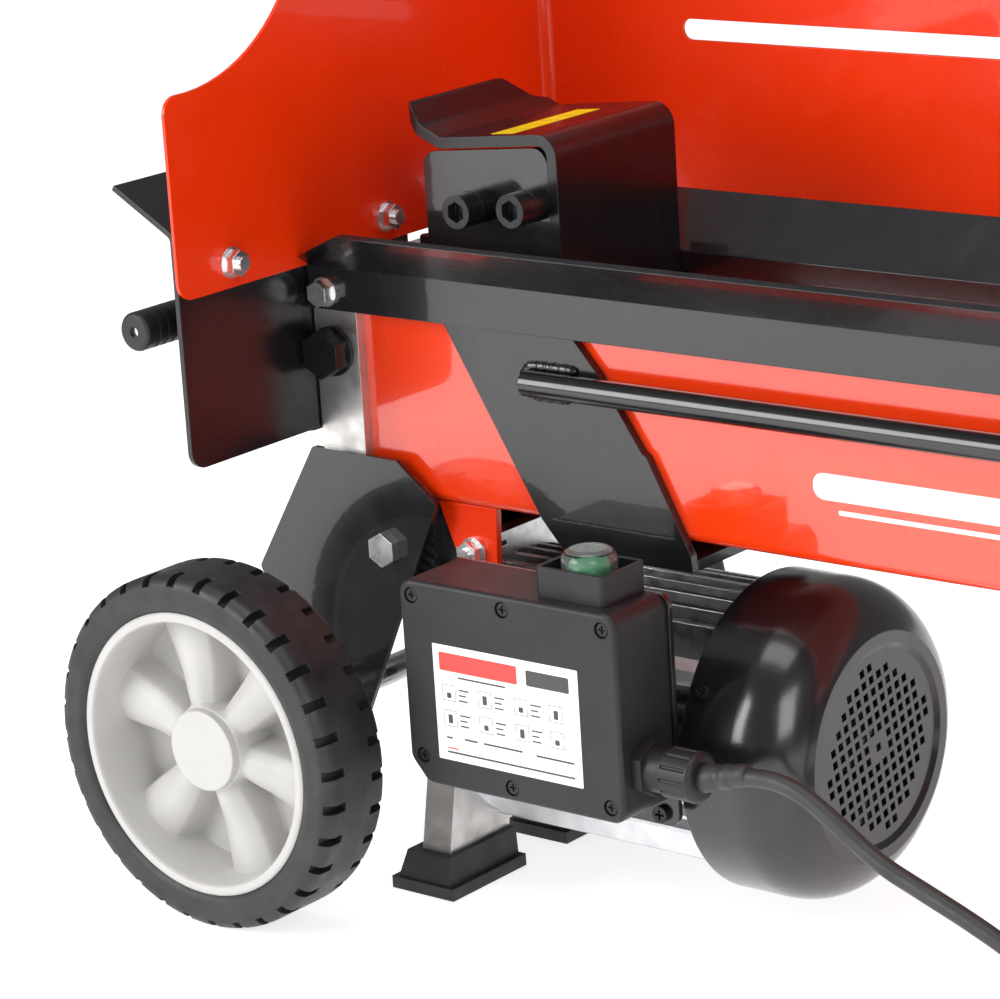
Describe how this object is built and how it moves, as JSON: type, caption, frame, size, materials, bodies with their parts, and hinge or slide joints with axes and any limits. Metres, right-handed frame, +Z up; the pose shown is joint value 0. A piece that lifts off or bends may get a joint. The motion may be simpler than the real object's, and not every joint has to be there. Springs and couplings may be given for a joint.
{
  "type": "log splitter",
  "caption": "Horizontal electric hydraulic log splitter: box beam with trough rails, sliding pusher on a U-shaped yoke, fixed wedge, motor and pump below, wheels and a sheet guard.",
  "frame": {"origin": "on the floor under the middle of the machine's length, in the beam's centre plane", "axes": "+X along the beam from the motor end to the wedge, +Z up; the control box and lever face -Y"},
  "size_m": [0.98, 0.365, 0.59],
  "materials": {
    "red_paint": "glossy powder coat",
    "black_paint": "glossy powder coat",
    "bare_steel": "machined, oiled",
    "cylinder_steel": "ground",
    "chrome_rod": "hard chrome",
    "piston_iron": "as cast",
    "zinc": "zinc plated",
    "black_bolt": "black oxide",
    "motor_aluminium": "die cast and extruded",
    "stator_steel": "laminated",
    "cover_paint": "gloss black",
    "white_plastic": "moulded, satin",
    "tyre": "moulded rubber",
    "foot_rubber": "matt",
    "black_plastic": "fine texture",
    "cord_rubber": "matt sheath",
    "green_plastic": "gloss",
    "clear_plastic": "clear, flexible"
  },
  "bodies": {
    "frame": {"beam": "red_paint", "motor_hangers": "red_paint", "valve_block": "bare_steel", "rod_end_block": "bare_steel", "cylinder_tube": "cylinder_steel", "rod_gland": "piston_iron", "rails": "black_paint", "flange_bolts": "zinc", "hex_bolts": "zinc", "block_bolts": "black_bolt", "wedge": "black_paint", "guard_panel": "red_paint", "hand_guard": "black_paint", "guard_bracket": "black_paint", "motor_legs": "bare_steel", "rubber_feet": "foot_rubber", "support_frame": "black_paint", "axle": "cylinder_steel", "wheel_brackets": "black_paint", "pump_body": "piston_iron", "motor_shield": "motor_aluminium", "motor_housing": "motor_aluminium", "stator": "stator_steel", "rear_shield": "motor_aluminium", "bearings": "cylinder_steel", "fan_cover": "cover_paint", "small_screws": "black_bolt", "control_box": "black_plastic", "box_lid": "black_plastic", "switch_hood": "black_plastic", "capacitor": "black_plastic", "contactor": "black_plastic", "box_plate": "black_paint", "cable_gland": "black_plastic", "power_cord": "cord_rubber", "cord_coil": "cord_rubber", "plug": "cord_rubber", "valve_body": "piston_iron", "oil_plugs": "black_bolt", "transport_handle": "black_paint"},
    "front_wheel": {"rim_front": "white_plastic", "tyre_front": "tyre"},
    "back_wheel": {"rim_back": "white_plastic", "tyre_back": "tyre"},
    "carriage": {"yoke": "black_paint", "pusher_plate": "black_paint", "cheek_bolts": "black_bolt", "pull_bars": "black_paint", "crosshead": "black_paint", "piston_rod": "chrome_rod", "piston": "piston_iron"},
    "lever": {"control_lever": "cylinder_steel", "lever_grip": "black_plastic"},
    "spool": {"valve_spool": "cylinder_steel"},
    "button": {"start_button": "green_plastic", "button_dome": "clear_plastic"},
    "rotor_set": {"rotor": "cylinder_steel", "cooling_fan": "black_plastic", "drive_gear": "cylinder_steel"},
    "driven_gear_set": {"driven_gear": "cylinder_steel"}
  },
  "joints": [
    {"name": "front_wheel_spin", "type": "hinge", "parent": "frame", "child": "front_wheel", "pos_m": [-0.39, -0.1575, 0.1], "axis": [0, 1, 0], "continuous": true},
    {"name": "back_wheel_spin", "type": "hinge", "parent": "frame", "child": "back_wheel", "pos_m": [-0.39, 0.1575, 0.1], "axis": [0, 1, 0], "continuous": true},
    {"name": "carriage_slide", "type": "slide", "parent": "frame", "child": "carriage", "axis": [1, 0, 0], "range_m": [0, 0.4]},
    {"name": "lever_tilt", "type": "hinge", "parent": "frame", "child": "lever", "pos_m": [-0.431, -0.014, 0.324], "axis": [1, 0, 0], "range_deg": [0, 18], "stiffness_Nm_per_rad": 1.5, "springref_deg": -20.05},
    {"name": "spool_slide", "type": "slide", "parent": "frame", "child": "spool", "axis": [0, 0, -1], "range_m": [0, 0.00943]},
    {"name": "start_press", "type": "slide", "parent": "frame", "child": "button", "axis": [0, 0, -1], "range_m": [0, 0.004], "stiffness_N_per_m": 600, "springref_m": -0.001},
    {"name": "rotor_spin", "type": "hinge", "parent": "frame", "child": "rotor_set", "pos_m": [-0.2, 0, 0.105], "axis": [1, 0, 0], "continuous": true},
    {"name": "driven_gear_spin", "type": "hinge", "parent": "frame", "child": "driven_gear_set", "pos_m": [-0.327, 0, 0.129], "axis": [1, 0, 0], "continuous": true}
  ],
  "couplings": [
    {"joint": "spool_slide", "follows": "lever_tilt", "m_per_rad": 0.03},
    {"joint": "driven_gear_spin", "follows": "rotor_spin", "ratio": -1}
  ]
}
